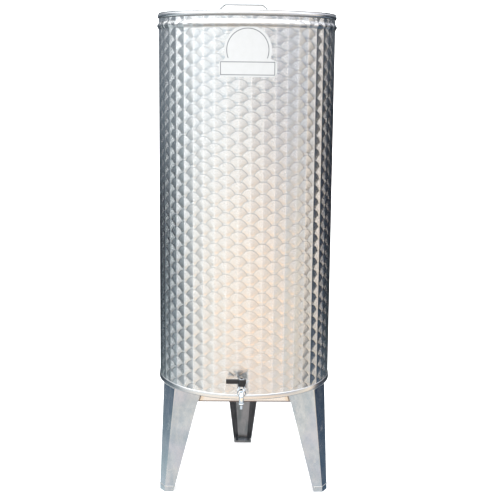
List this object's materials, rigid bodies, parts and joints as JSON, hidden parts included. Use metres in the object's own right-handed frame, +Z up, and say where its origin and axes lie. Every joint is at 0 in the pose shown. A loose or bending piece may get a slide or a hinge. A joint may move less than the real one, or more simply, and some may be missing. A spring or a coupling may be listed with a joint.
{
  "type": "stainless steel barrel",
  "caption": "Tall stainless steel barrel with an engine-turned shell, rolled rim, lift-off lid with a bar handle, small quarter-turn tap and folded sheet legs joined by crossbars.",
  "frame": {"origin": "on the floor under the middle of the bounding box; the barrel's own axis stands 22.4 mm behind it", "axes": "+Z up along the barrel, -Y towards the tap, +X to the right when facing the tap"},
  "size_m": [0.489, 0.571, 1.3398],
  "materials": {
    "patterned_steel": "engine-turned stainless sheet in overlapping fish-scale arcs",
    "bright_steel": "bright polished stainless",
    "satin_steel": "satin stainless sheet",
    "chrome_plate": "polished chrome plate",
    "black_plastic": "moulded black plastic, slightly glossy",
    "seal_rubber": "matt sealing rubber"
  },
  "bodies": {
    "barrel": {"shell": "patterned_steel", "rim_roll": "bright_steel", "bottom_plate": "bright_steel", "bottom_hem": "bright_steel", "leg_front_left": "satin_steel", "leg_front_right": "satin_steel", "leg_back": "satin_steel", "foot_front_left": "satin_steel", "foot_front_right": "satin_steel", "foot_back": "satin_steel", "crossbar_front": "satin_steel", "crossbar_right": "satin_steel", "crossbar_left": "satin_steel", "tap_socket": "bright_steel", "tap_washer": "seal_rubber", "tap_union_nut": "chrome_plate", "tap_body": "chrome_plate", "tap_packing_nut": "chrome_plate", "tap_spout": "chrome_plate", "tap_nozzle": "chrome_plate"},
    "lid": {"lid": "bright_steel", "lid_handle": "chrome_plate"},
    "tap_lever": {"tap_lever": "black_plastic", "lever_washer": "chrome_plate", "lever_screw": "chrome_plate"}
  },
  "joints": [
    {"name": "lid_lift", "type": "slide", "parent": "barrel", "child": "lid", "axis": [0, 0, 1], "range_m": [0, 0.3]},
    {"name": "tap_lever_turn", "type": "hinge", "parent": "barrel", "child": "tap_lever", "pos_m": [-0.00872, -0.25499, 0.36], "axis": [0, 0, 1], "range_deg": [0, 90]}
  ]
}
